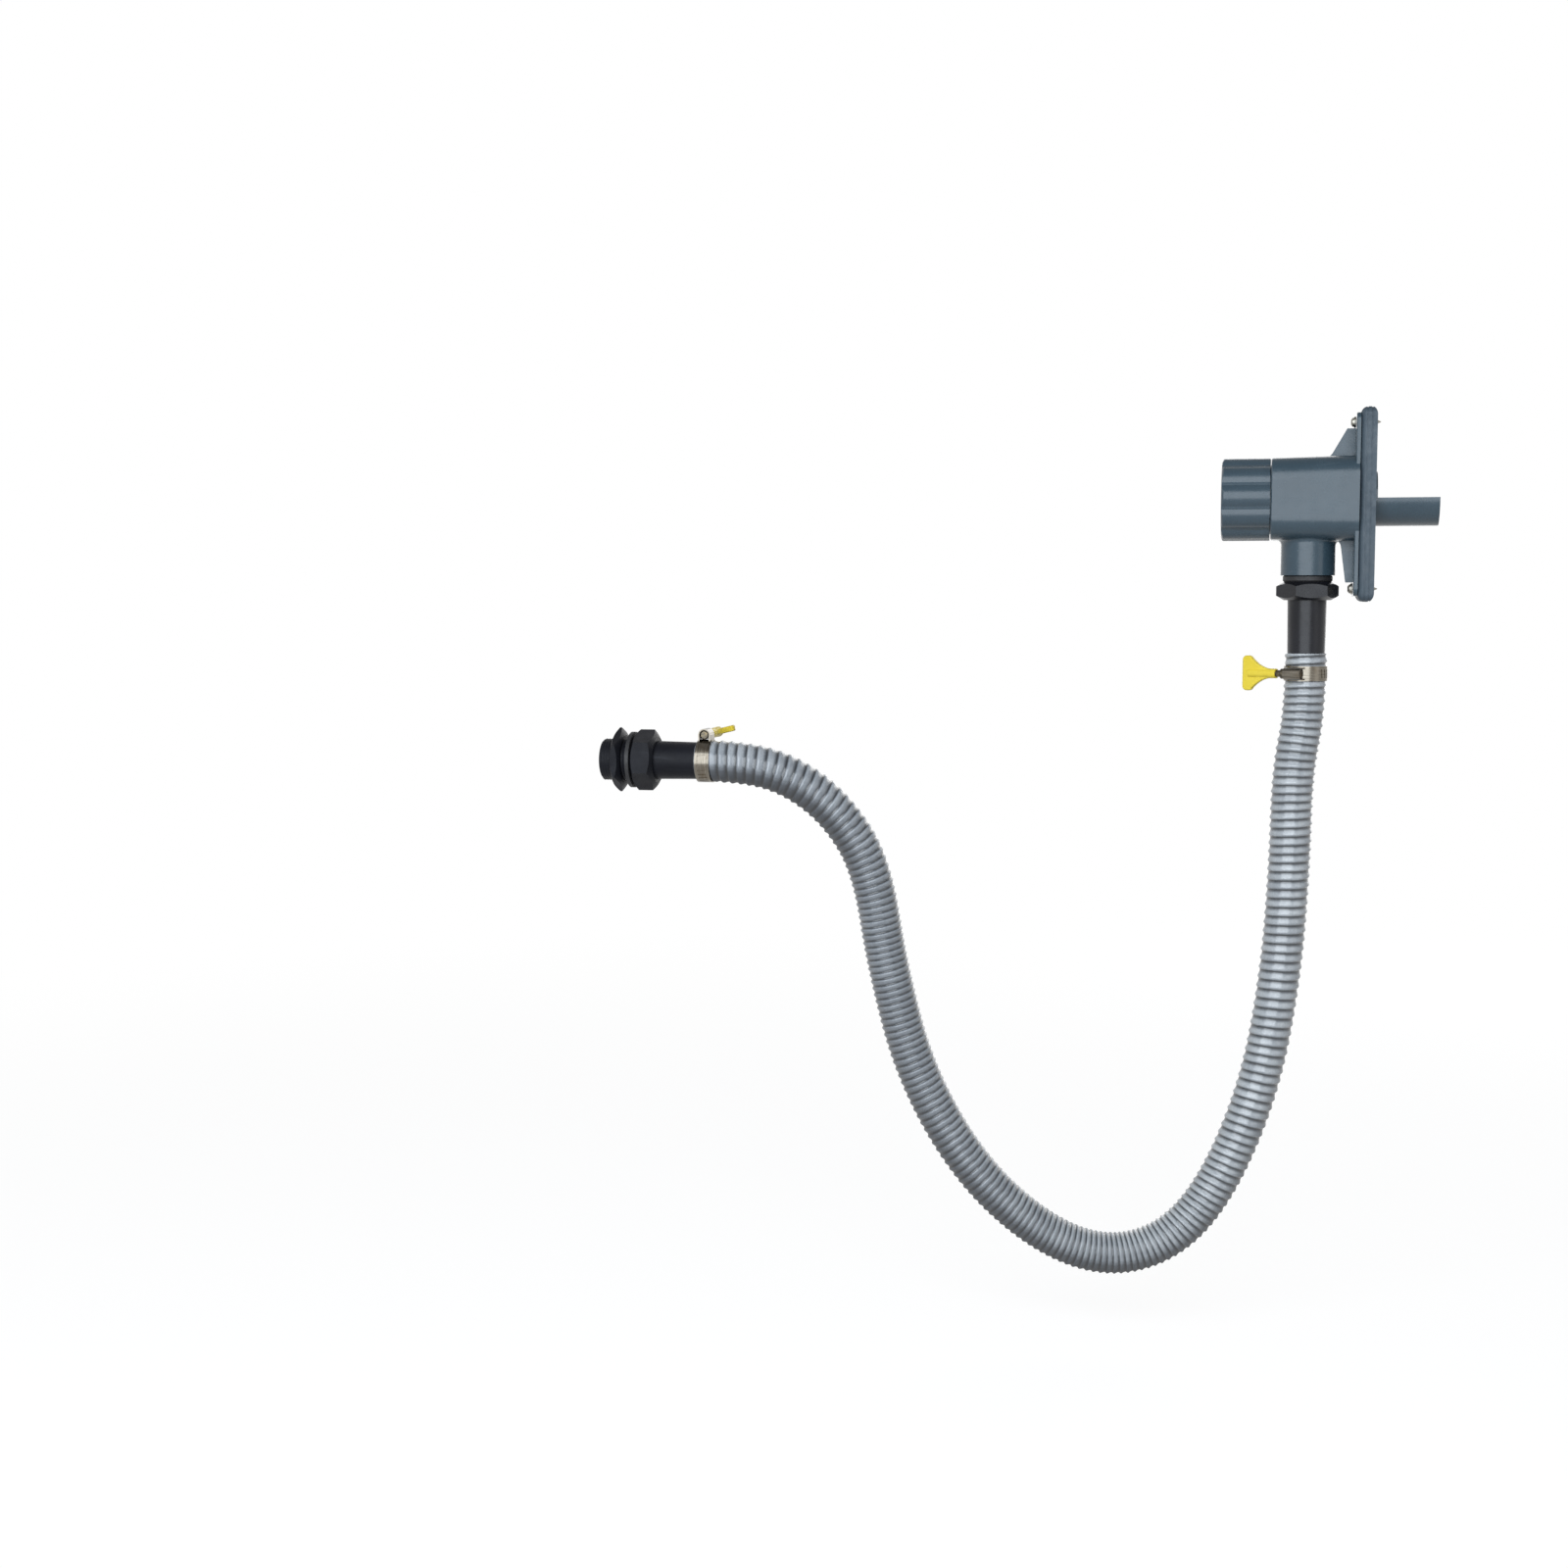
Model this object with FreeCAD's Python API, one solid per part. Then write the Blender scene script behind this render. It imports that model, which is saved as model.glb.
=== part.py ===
import FreeCAD, Part
import math
import os

Vec = FreeCAD.Vector
os.makedirs("parts", exist_ok=True)

# Frame in millimetres: origin in the middle of the saddle's seat on the knob's axis, +X into the seat, +Z up

# Flange plate and its rubber pad
PIPE_RADIUS = 55.0
FLANGE_CENTRE_Z = -5.5
PLATE_WIDTH = 62.0
PLATE_HEIGHT = 146.0
PLATE_CORNER = 6.0
PLATE_THICKNESS = 3.4
PLATE_EDGE_ROUND = 1.2
PAD_SIDE_PROUD = 1.0
PAD_END_PROUD = 4.5
PAD_CORNER = 7.0
PAD_MIDDLE_THICKNESS = 2.4
PAD_DEPTH = 14.4
PAD_FRONT_ROUND = 5.5
PAD_GROOVE_DEPTH = 0.5
PAD_GROOVE_WIDTH = 1.2
PAD_FIRST_GROOVE_X = 2.2
PAD_SECOND_GROOVE_X = 5.8

# Valve chamber, a rounded square with a round bore, and its webs
CHAMBER_LENGTH = 69.0
CHAMBER_HALF = 32.8
CHAMBER_CORNER = 17.5
CHAMBER_TAPER = 1.3
CHAMBER_WALL = 1.8
CHAMBER_END_WALL = 5.0
CHAMBER_END_CHAMFER = 0.8
WEB_THICKNESS = 5.0
WEB_ROOT_DEPTH = 2.0
WEB_FOOT_REACH = 4.5
WEB_FOOT_SINK = 0.3
UPPER_WEB_START_X = -25.4
UPPER_WEB_TIP_X = -12.2
UPPER_WEB_TIP_Z = 56.5
LOWER_WEB_START_X = -16.0
LOWER_WEB_TIP_X = -11.4
LOWER_WEB_TIP_Z = -67.4

# Outlet socket, its seal and the black tails
OUTLET_X = -41.0
THREAD_RADIUS = 16.6
THREAD_LEAD = 1.0
THREAD_ENGAGEMENT = 17.0
THREAD_END_GAP = 1.0
SOCKET_WALL = 5.1
SOCKET_BOTTOM_Z = -61.6
SOCKET_ROUND = 4.0
PASSAGE_RADIUS = 14.0
SEAL_WALL = 3.2
SEAL_THICKNESS = 5.2
SEAL_CHAMFER = 1.0
TAIL_HEX_FLATS = 43.6
TAIL_HEX_HEIGHT = 14.9
HEX_CHAMFER = 3.0
HEX_CHAMFER_ANGLE = 30.0
HEX_TURN = 8.0
TAIL_TUBE_TOP_RADIUS = 15.7
TAIL_TUBE_END_RADIUS = 15.1
TAIL_TUBE_LENGTH = 43.3
TAIL_BORE_RADIUS = 10.4
SPIGOT_LENGTH = 25.0
SPIGOT_BARBS = 4
SPIGOT_BARB_DEPTH = 0.7

# Knob, spindle and valve sleeve
RUNNING_GAP = 0.3
KNOB_PROUD = 1.05
KNOB_GAP = 0.6
KNOB_LENGTH = 38.8
KNOB_FRONT_ROUND = 4.0
KNOB_BACK_ROUND = 0.8
KNOB_WALL = 3.0
KNOB_FACE = 4.5
LOBE_COUNT = 10
LOBE_RADIUS = 12.6
LOBE_FIRST_ANGLE = 4.0
LOBE_GROOVE_DEPTH = 2.2
COLLAR_GAP = 0.5
COLLAR_WALL = 2.5
COLLAR_LENGTH = 3.0
SPINDLE_RADIUS = 9.75
SPINDLE_HOLE_GAP = 0.4
TENON_SIDE = 10.0
TENON_SHORT_OF_FACE = 0.3
SLEEVE_GAP = 0.4
SLEEVE_WALL = 2.4
SLEEVE_DISC = 3.0
SLEEVE_MOUTH_GAP = 1.0
PORT_STEP = 0.5
RING_SECTION_RADIUS = 1.1
RING_GROOVE_WIDTH = 2.4
SLEEVE_SCREW_RADIUS = 1.9
SLEEVE_SCREW_LENGTH = 18.0
SLEEVE_SCREW_HEAD_RADIUS = 8.0
SLEEVE_SCREW_HEAD_HEIGHT = 3.0
SLEEVE_SCREW_HEAD_CHAMFER = 1.2

# Intake scoop behind the flange
SCOOP_DISC_THICKNESS = 3.0
SCOOP_DISC_GAP = 0.1
SCOOP_RADIUS = 22.0
SCOOP_WALL = 2.5
SCOOP_NECK_END_X = 12.0
SCOOP_END_X = 60.0
PAD_WINDOW_GAP = 0.2
COUNTERBORE_STEP = 1.5

# Fixing screws
UPPER_SCREW_Z = 61.5
LOWER_SCREW_Z = -72.5
SCREW_RADIUS = 2.0
SCREW_SHANK_STEP = 0.3
SCREW_THREAD_START_X = 0.5
SCREW_HOLE_GAP = 0.3
SCREW_REACH_X = 14.0
SCREW_TIP = 4.0
SCREW_TIP_RADIUS = 0.3
SCREW_HEAD_RADIUS = 4.0
SCREW_HEAD_HEIGHT = 2.6
SCREW_HEAD_RISE = 1.4
SCREW_HEAD_SHOULDER_RADIUS = 3.6
SCREW_HEAD_TOP_RADIUS = 2.2
CROSS_SPAN = 4.4
CROSS_WIDTH = 1.0
CROSS_DEPTH = 1.2
WASHER_RADIUS = 4.6
WASHER_THICKNESS = 1.0
WASHER_HOLE_GAP = 0.2

# Hose and its far end
HOSE_RADIUS = 16.6
HOSE_BORE_RADIUS = 12.9
ARC_SHARE = 0.45
TANK_X = -526.0
TANK_Y = -110.0
TANK_Z = -213.0
TANK_HEX_HEIGHT = 19.3
TANK_TUBE_LENGTH = 34.5
TANK_SEAL_PROUD = 1.2
TANK_SEAL_THICKNESS = 3.0
TANK_WALL_SPACE = 5.0
LOCKNUT_EXTRA_FLATS = 2.4
LOCKNUT_HEIGHT = 9.0
TANK_THREAD_PROUD = 10.0

# Hose clamps
BAND_THICKNESS = 0.9
BAND_WIDTH = 12.0
BAND_SEAT_GAP = 0.1
BAND_TAIL_THICKNESS = 0.8
BAND_TAIL_INSET = 1.0
BAND_TAIL_FROM = 116.0
BAND_TAIL_TO = 150.0
SLOT_WIDTH = 1.1
SLOT_LENGTH = 7.4
SLOT_DEPTH = 0.5
SLOT_STEP = 13.0
SLOT_SLANT = 6.0
CLAMP_SCREW_RADIUS = 3.7
CLAMP_SCREW_CHAMFER = 0.8
CLAMP_SCREW_RECESS = 0.6
CLAMP_BORE_GAP = 0.3
CLAMP_ARCH_WALL = 1.0
CLAMP_ARCH_LENGTH = 15.0
CLAMP_COLLAR_PROUD = 0.5
CLAMP_COLLAR_LENGTH = 2.4
CLAMP_NECK_RADIUS = 2.8
CLAMP_SIDE_GAP = 0.4
KEY_START = 15.0
KEY_END = 45.1
KEY_CORE_DEPTH = 12.0
KEY_SHANK_RADIUS = 4.3
KEY_SHANK_TAPER = 0.4
KEY_FLARE_START = 21.7
KEY_FLARE_BULGE = 2.2
KEY_SHOULDER_DROP = 2.3
KEY_BAR_START = 36.0
KEY_WIDTH = 28.7
KEY_THICKNESS = 5.0
KEY_CORNER = 3.6
KEY_EDGE_ROUND = 1.4
OUTLET_CLAMP_FROM_HOSE_END = 16.3
OUTLET_CLAMP_TURN = 28.0
TANK_CLAMP_FROM_HOSE_END = 6.6
TANK_KEY_TURN = -14.0

# How far a cutter reaches past the face that it cuts through
THROUGH = 1.0

# Sizes that follow from the ones above
PAD_WIDTH = PLATE_WIDTH + 2 * PAD_SIDE_PROUD
PAD_HEIGHT = PLATE_HEIGHT + 2 * PAD_END_PROUD
PLATE_BACK_X = -PAD_MIDDLE_THICKNESS
PLATE_FRONT_X = PLATE_BACK_X - PLATE_THICKNESS
CHAMBER_END_X = PLATE_BACK_X - CHAMBER_LENGTH
CHAMBER_FLANGE_HALF = CHAMBER_HALF + CHAMBER_TAPER
BORE_RADIUS = CHAMBER_HALF - CHAMBER_WALL
WALL_INNER_X = CHAMBER_END_X + CHAMBER_END_WALL
COUNTERBORE_RADIUS = BORE_RADIUS + COUNTERBORE_STEP
SCOOP_DISC_X = PLATE_BACK_X - SCOOP_DISC_THICKNESS
KNOB_RADIUS = CHAMBER_HALF + KNOB_PROUD
KNOB_BACK_X = CHAMBER_END_X - KNOB_GAP
KNOB_FRONT_X = KNOB_BACK_X - KNOB_LENGTH
KNOB_CORE_RADIUS = KNOB_RADIUS - LOBE_GROOVE_DEPTH
KNOB_INSIDE_RADIUS = KNOB_CORE_RADIUS - KNOB_WALL
COLLAR_RADIUS = KNOB_INSIDE_RADIUS - COLLAR_GAP
SPINDLE_HOLE_RADIUS = SPINDLE_RADIUS + SPINDLE_HOLE_GAP
SLEEVE_RADIUS = BORE_RADIUS - SLEEVE_GAP
SLEEVE_BACK_X = WALL_INNER_X + SLEEVE_GAP
SLEEVE_MOUTH_X = SCOOP_DISC_X - SLEEVE_MOUTH_GAP
SLEEVE_FACE_X = SLEEVE_BACK_X + SLEEVE_DISC
RING_CENTRE_RADIUS = SPINDLE_HOLE_RADIUS - RUNNING_GAP - RING_SECTION_RADIUS
RING_X = CHAMBER_END_X + CHAMBER_END_WALL / 2
SOCKET_RADIUS = THREAD_RADIUS + SOCKET_WALL
PORT_RADIUS = PASSAGE_RADIUS - PORT_STEP
SEAL_BOTTOM_Z = SOCKET_BOTTOM_Z - SEAL_THICKNESS
HEX_BOTTOM_Z = SEAL_BOTTOM_Z - TAIL_HEX_HEIGHT
HOSE_START_Z = HEX_BOTTOM_Z - TAIL_TUBE_LENGTH
SCREW_HOLE_RADIUS = SCREW_RADIUS + SCREW_HOLE_GAP
TANK_HEX_X = TANK_X - TANK_TUBE_LENGTH - TANK_HEX_HEIGHT
TANK_SEAL_X = TANK_HEX_X - TANK_SEAL_THICKNESS
TANK_SEAL_RADIUS = TAIL_HEX_FLATS / 2 + TANK_SEAL_PROUD
BAND_INSIDE_RADIUS = HOSE_RADIUS + BAND_SEAT_GAP
BAND_RADIUS = BAND_INSIDE_RADIUS + BAND_THICKNESS
CLAMP_BORE_RADIUS = CLAMP_SCREW_RADIUS + CLAMP_BORE_GAP
CLAMP_ARCH_RADIUS = CLAMP_BORE_RADIUS + CLAMP_ARCH_WALL
CLAMP_SCREW_AXIS = BAND_RADIUS + CLAMP_BORE_RADIUS

# Hose route, chosen by eye along the hose's middle line, from the outlet to the far end
ROUTE = [
    Vec(OUTLET_X, 0, HOSE_START_Z),
    Vec(OUTLET_X, 0, -172),
    Vec(-50, -2, -221),
    Vec(-51, -2, -297),
    Vec(-56, -3, -387),
    Vec(-71, -7, -483),
    Vec(-104, -14, -569),
    Vec(-142, -22, -616),
    Vec(-193, -34, -631),
    Vec(-248, -46, -610),
    Vec(-306, -60, -555),
    Vec(-351, -70, -474),
    Vec(-374, -75, -385),
    Vec(-387, -79, -301),
    Vec(-412, -88, -256),
    Vec(-447, -100, -226),
    Vec(-487, TANK_Y, TANK_Z),
    Vec(TANK_X, TANK_Y, TANK_Z),
]


# Drawing helpers
def rod_x(radius, x_from, x_to, y=0.0, z=0.0):
    return Part.makeCylinder(radius, x_to - x_from, Vec(x_from, y, z), Vec(1, 0, 0))


def rod_z(radius, z_from, z_to, x=0.0, y=0.0):
    return Part.makeCylinder(radius, z_to - z_from, Vec(x, y, z_from), Vec(0, 0, 1))


def rounded_slab(width, height, corner, x_from, x_to):
    low_corner = Vec(x_from, -width / 2, FLANGE_CENTRE_Z - height / 2)
    box = Part.makeBox(x_to - x_from, width, height, low_corner)
    edges = [edge for edge in box.Edges if edge.BoundBox.XLength > 0.01]
    return box.makeFillet(corner, edges)


def edges_at_x(shape, x):
    found = []
    for edge in shape.Edges:
        box = edge.BoundBox
        if abs(box.XMin - x) < 0.01 and abs(box.XMax - x) < 0.01:
            found.append(edge)
    return found


def flat_face(points):
    return Part.Face(Part.makePolygon(points + [points[0]]))


def rounded_square(half, corner, x):
    straight = half - corner
    corner_middle = straight + corner * math.sqrt(0.5)
    edges = []
    for quarter in range(4):
        turn = FreeCAD.Rotation(Vec(1, 0, 0), 90 * quarter)
        side_start = turn.multVec(Vec(x, half, -straight))
        arc_start = turn.multVec(Vec(x, half, straight))
        arc_middle = turn.multVec(Vec(x, corner_middle, corner_middle))
        arc_end = turn.multVec(Vec(x, straight, half))
        edges.append(Part.makeLine(side_start, arc_start))
        edges.append(Part.Arc(arc_start, arc_middle, arc_end).toShape())
    return Part.Wire(edges)


def revolve(points, axis_point, axis):
    return flat_face(points).revolve(axis_point, axis, 360)


def rounded_corner(before, here, after, reach):
    inward = (here - before).normalize()
    onward = (after - here).normalize()
    turn = inward.getAngle(onward)
    radius = reach / math.tan(turn / 2)
    to_centre = (onward - inward).normalize()
    start = here - inward * reach
    middle = here + to_centre * (radius / math.cos(turn / 2) - radius)
    end = here + onward * reach
    return start, middle, end, radius


def chamfered_hexagon_z(flats, z_from, z_to):
    corner = flats / math.sqrt(3)
    outline = []
    for step in range(6):
        angle = math.radians(60 * step)
        outline.append(Vec(corner * math.cos(angle), corner * math.sin(angle), z_from))
    hexagon = flat_face(outline).extrude(Vec(0, 0, z_to - z_from))
    flat_end = flats / 2 - HEX_CHAMFER
    outer = corner + THROUGH
    drop = (outer - flat_end) * math.tan(math.radians(HEX_CHAMFER_ANGLE))
    profile = [
        Vec(0, 0, z_from),
        Vec(flat_end, 0, z_from),
        Vec(outer, 0, z_from + drop),
        Vec(outer, 0, z_to - drop),
        Vec(flat_end, 0, z_to),
        Vec(0, 0, z_to),
    ]
    return hexagon.common(revolve(profile, Vec(0, 0, 0), Vec(0, 0, 1)))


def save(name, shape):
    shape.exportStep("parts/" + name + ".step")
    print(name, "solids", len(shape.Solids), "volume", round(shape.Volume, 1), "valid", shape.isValid())


# Housing: flange plate, valve chamber, outlet socket and webs in one moulding
plate = rounded_slab(PLATE_WIDTH, PLATE_HEIGHT, PLATE_CORNER, PLATE_FRONT_X, PLATE_BACK_X)
plate = plate.makeFillet(PLATE_EDGE_ROUND, edges_at_x(plate, PLATE_FRONT_X))
knob_end = rounded_square(CHAMBER_HALF, CHAMBER_CORNER, CHAMBER_END_X)
flange_end = rounded_square(CHAMBER_FLANGE_HALF, CHAMBER_CORNER, PLATE_BACK_X)
chamber = Part.makeLoft([knob_end, flange_end], True, True)
chamber = chamber.makeChamfer(CHAMBER_END_CHAMFER, edges_at_x(chamber, CHAMBER_END_X))
socket = rod_z(SOCKET_RADIUS, SOCKET_BOTTOM_Z, 0, OUTLET_X)
body = chamber.fuse(socket)
meeting_edges = []
for edge in body.Edges:
    middle = edge.valueAt((edge.FirstParameter + edge.LastParameter) / 2)
    off_axis = math.hypot(middle.x - OUTLET_X, middle.y)
    if abs(off_axis - SOCKET_RADIUS) < 0.01 and edge.BoundBox.ZMin > SOCKET_BOTTOM_Z + THROUGH:
        meeting_edges.append(edge)
print("edges rounded between chamber and socket", len(meeting_edges))
body = body.makeFillet(SOCKET_ROUND, meeting_edges)


def chamber_surface(x):
    share = (x - CHAMBER_END_X) / CHAMBER_LENGTH
    return CHAMBER_HALF + share * CHAMBER_TAPER


def web(start_x, tip_x, tip_z):
    sign = 1 if tip_z > 0 else -1
    side = -WEB_THICKNESS / 2
    foot_x = start_x - 2 * WEB_FOOT_REACH
    foot = Vec(foot_x, side, sign * (chamber_surface(foot_x) - WEB_FOOT_SINK))
    corner = Vec(start_x, side, sign * (chamber_surface(start_x) - WEB_FOOT_SINK))
    tip = Vec(tip_x, side, tip_z)
    start, middle, end, radius = rounded_corner(foot, corner, tip, WEB_FOOT_REACH)
    buried_x = PLATE_FRONT_X + PLATE_THICKNESS / 2
    buried_z = sign * (chamber_surface(start_x) - WEB_ROOT_DEPTH)
    under = [
        tip,
        Vec(buried_x, side, tip_z),
        Vec(buried_x, side, buried_z),
        Vec(start.x, side, buried_z),
        start,
    ]
    edges = [Part.Arc(start, middle, end).toShape(), Part.makeLine(end, tip)]
    for first, second in zip(under, under[1:]):
        edges.append(Part.makeLine(first, second))
    return Part.Face(Part.Wire(edges)).extrude(Vec(0, WEB_THICKNESS, 0))


upper_web = web(UPPER_WEB_START_X, UPPER_WEB_TIP_X, UPPER_WEB_TIP_Z)
lower_web = web(LOWER_WEB_START_X, LOWER_WEB_TIP_X, LOWER_WEB_TIP_Z)
collar_end_x = CHAMBER_END_X - COLLAR_LENGTH
collar = rod_x(COLLAR_RADIUS, collar_end_x, CHAMBER_END_X + CHAMBER_END_WALL / 2)
collar = collar.cut(rod_x(COLLAR_RADIUS - COLLAR_WALL, collar_end_x - THROUGH, CHAMBER_END_X))
body = body.fuse([plate, upper_web, lower_web, collar]).removeSplitter()
body = body.cut(rod_x(BORE_RADIUS, WALL_INNER_X, PLATE_BACK_X + THROUGH))
body = body.cut(rod_x(COUNTERBORE_RADIUS, SCOOP_DISC_X, PLATE_BACK_X + THROUGH))
body = body.cut(rod_x(SPINDLE_HOLE_RADIUS, CHAMBER_END_X - THROUGH, WALL_INNER_X + THROUGH))
body = body.cut(rod_z(PASSAGE_RADIUS, SOCKET_BOTTOM_Z - THROUGH, 0, OUTLET_X))
thread_top_z = SOCKET_BOTTOM_Z + THREAD_ENGAGEMENT + THREAD_END_GAP
body = body.cut(rod_z(THREAD_RADIUS, SOCKET_BOTTOM_Z - THROUGH, thread_top_z, OUTLET_X))
for screw_z in (UPPER_SCREW_Z, LOWER_SCREW_Z):
    hole = rod_x(SCREW_HOLE_RADIUS, PLATE_FRONT_X - THROUGH, PLATE_BACK_X + THROUGH, 0, screw_z)
    body = body.cut(hole)
save("housing", body)

# Rubber pad: hollowed on its back to a round seat, with two grooves round its edge
pad_back_x = PLATE_BACK_X + PAD_DEPTH
pad = rounded_slab(PAD_WIDTH, PAD_HEIGHT, PAD_CORNER, PLATE_BACK_X, pad_back_x)
pad = pad.makeFillet(PAD_FRONT_ROUND, edges_at_x(pad, PLATE_BACK_X))
groove_width = PAD_WIDTH - 2 * PAD_GROOVE_DEPTH
groove_height = PAD_HEIGHT - 2 * PAD_GROOVE_DEPTH
groove_corner = PAD_CORNER - PAD_GROOVE_DEPTH
for groove_x in (PAD_FIRST_GROOVE_X, PAD_SECOND_GROOVE_X):
    groove_to = groove_x + PAD_GROOVE_WIDTH
    around = rounded_slab(PAD_WIDTH + THROUGH, PAD_HEIGHT + THROUGH, PAD_CORNER, groove_x, groove_to)
    kept = rounded_slab(groove_width, groove_height, groove_corner, groove_x, groove_to)
    pad = pad.cut(around.cut(kept))
seat = rod_z(PIPE_RADIUS, FLANGE_CENTRE_Z - PAD_HEIGHT, FLANGE_CENTRE_Z + PAD_HEIGHT, PIPE_RADIUS)
pad = pad.cut(seat)
pad = pad.cut(rod_x(SCOOP_RADIUS + PAD_WINDOW_GAP, PLATE_BACK_X - THROUGH, pad_back_x + THROUGH))
for screw_z in (UPPER_SCREW_Z, LOWER_SCREW_Z):
    hole = rod_x(SCREW_HOLE_RADIUS, PLATE_BACK_X - THROUGH, pad_back_x, 0, screw_z)
    pad = pad.cut(hole)
save("saddle_gasket", pad)

# Intake scoop: disc in the chamber's mouth, round neck through the seat, open trough behind it
scoop = rod_x(COUNTERBORE_RADIUS - SCOOP_DISC_GAP, SCOOP_DISC_X, PLATE_BACK_X)
scoop = scoop.fuse(rod_x(SCOOP_RADIUS, SCOOP_DISC_X, SCOOP_END_X))
scoop = scoop.cut(rod_x(SCOOP_RADIUS - SCOOP_WALL, SCOOP_DISC_X - THROUGH, SCOOP_END_X - SCOOP_WALL))
open_corner = Vec(SCOOP_NECK_END_X, -2 * SCOOP_RADIUS, 0)
open_top = Part.makeBox(SCOOP_END_X, 4 * SCOOP_RADIUS, 2 * SCOOP_RADIUS, open_corner)
scoop = scoop.cut(open_top).removeSplitter()
save("intake_scoop", scoop)

# Fixing screws and washers
head_x = PLATE_FRONT_X - WASHER_THICKNESS
head_top_x = head_x - SCREW_HEAD_HEIGHT
shank_radius = SCREW_RADIUS - SCREW_SHANK_STEP
screws = []
washers = []
for screw_z in (UPPER_SCREW_Z, LOWER_SCREW_Z):
    outline = [
        Vec(head_top_x, 0, screw_z),
        Vec(head_top_x, 0, screw_z + SCREW_HEAD_TOP_RADIUS),
        Vec(head_x - SCREW_HEAD_RISE, 0, screw_z + SCREW_HEAD_SHOULDER_RADIUS),
        Vec(head_x, 0, screw_z + SCREW_HEAD_RADIUS),
        Vec(head_x, 0, screw_z + shank_radius),
        Vec(SCREW_THREAD_START_X, 0, screw_z + shank_radius),
        Vec(SCREW_THREAD_START_X, 0, screw_z + SCREW_RADIUS),
        Vec(SCREW_REACH_X - SCREW_TIP, 0, screw_z + SCREW_RADIUS),
        Vec(SCREW_REACH_X, 0, screw_z + SCREW_TIP_RADIUS),
        Vec(SCREW_REACH_X, 0, screw_z),
    ]
    screw = revolve(outline, Vec(0, 0, screw_z), Vec(1, 0, 0))
    for cross_y, cross_z in ((CROSS_WIDTH, CROSS_SPAN), (CROSS_SPAN, CROSS_WIDTH)):
        cross_corner = Vec(head_top_x - THROUGH, -cross_y / 2, screw_z - cross_z / 2)
        screw = screw.cut(Part.makeBox(CROSS_DEPTH + THROUGH, cross_y, cross_z, cross_corner))
    screws.append(screw)
    washer = rod_x(WASHER_RADIUS, head_x, PLATE_FRONT_X, 0, screw_z)
    washer_hole = rod_x(SCREW_RADIUS + WASHER_HOLE_GAP, head_x - THROUGH, PLATE_FRONT_X + THROUGH, 0, screw_z)
    washers.append(washer.cut(washer_hole))
save("fixing_screws", Part.makeCompound(screws))
save("fixing_washers", Part.makeCompound(washers))

# Selector knob: cap of round lobes with a spindle that goes through the chamber's end wall
rounded_ends = rod_x(KNOB_RADIUS + THROUGH, KNOB_FRONT_X, KNOB_BACK_X)
rounded_ends = rounded_ends.makeFillet(KNOB_FRONT_ROUND + THROUGH, edges_at_x(rounded_ends, KNOB_FRONT_X))
rounded_ends = rounded_ends.makeFillet(KNOB_BACK_ROUND + THROUGH, edges_at_x(rounded_ends, KNOB_BACK_X))
lobe_centre = KNOB_RADIUS - LOBE_RADIUS
lobes = []
for step in range(LOBE_COUNT):
    angle = math.radians(LOBE_FIRST_ANGLE + 360 * step / LOBE_COUNT)
    lobe_y = -lobe_centre * math.cos(angle)
    lobe_z = lobe_centre * math.sin(angle)
    lobes.append(rod_x(LOBE_RADIUS, KNOB_FRONT_X, KNOB_BACK_X, lobe_y, lobe_z))
knob = rod_x(KNOB_CORE_RADIUS, KNOB_FRONT_X, KNOB_BACK_X).fuse(lobes).removeSplitter()
knob = knob.common(rounded_ends)
knob = knob.cut(rod_x(KNOB_INSIDE_RADIUS, KNOB_FRONT_X + KNOB_FACE, KNOB_BACK_X + THROUGH))
knob = knob.fuse(rod_x(SPINDLE_RADIUS, KNOB_FRONT_X + KNOB_FACE / 2, SLEEVE_BACK_X))
tenon_end_x = SLEEVE_FACE_X - TENON_SHORT_OF_FACE
tenon_corner = Vec(SLEEVE_BACK_X - THROUGH, -TENON_SIDE / 2, -TENON_SIDE / 2)
knob = knob.fuse(Part.makeBox(tenon_end_x - tenon_corner.x, TENON_SIDE, TENON_SIDE, tenon_corner))
groove_from_x = RING_X - RING_GROOVE_WIDTH / 2
groove_to_x = RING_X + RING_GROOVE_WIDTH / 2
groove_core = rod_x(RING_CENTRE_RADIUS - RING_SECTION_RADIUS, groove_from_x, groove_to_x)
groove = rod_x(SPINDLE_RADIUS + THROUGH, groove_from_x, groove_to_x).cut(groove_core)
knob = knob.cut(groove)
screw_end_x = SLEEVE_FACE_X - SLEEVE_SCREW_LENGTH
knob = knob.cut(rod_x(SLEEVE_SCREW_RADIUS, screw_end_x, tenon_end_x + THROUGH)).removeSplitter()
save("selector_knob", knob)

# O-ring on the spindle, drawn uncompressed
ring = Part.makeTorus(RING_CENTRE_RADIUS, RING_SECTION_RADIUS, Vec(RING_X, 0, 0), Vec(1, 0, 0))
save("spindle_o_ring", ring)

# Valve sleeve: cup that turns in the chamber, its port over the outlet when the diverter is open
sleeve = rod_x(SLEEVE_RADIUS, SLEEVE_BACK_X, SLEEVE_MOUTH_X)
sleeve = sleeve.cut(rod_x(SLEEVE_RADIUS - SLEEVE_WALL, SLEEVE_FACE_X, SLEEVE_MOUTH_X + THROUGH))
sleeve = sleeve.cut(rod_z(PORT_RADIUS, -SLEEVE_RADIUS - THROUGH, 0, OUTLET_X))
square_length = SLEEVE_FACE_X + THROUGH - tenon_corner.x
sleeve = sleeve.cut(Part.makeBox(square_length, TENON_SIDE, TENON_SIDE, tenon_corner))
save("valve_sleeve", sleeve)

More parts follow.
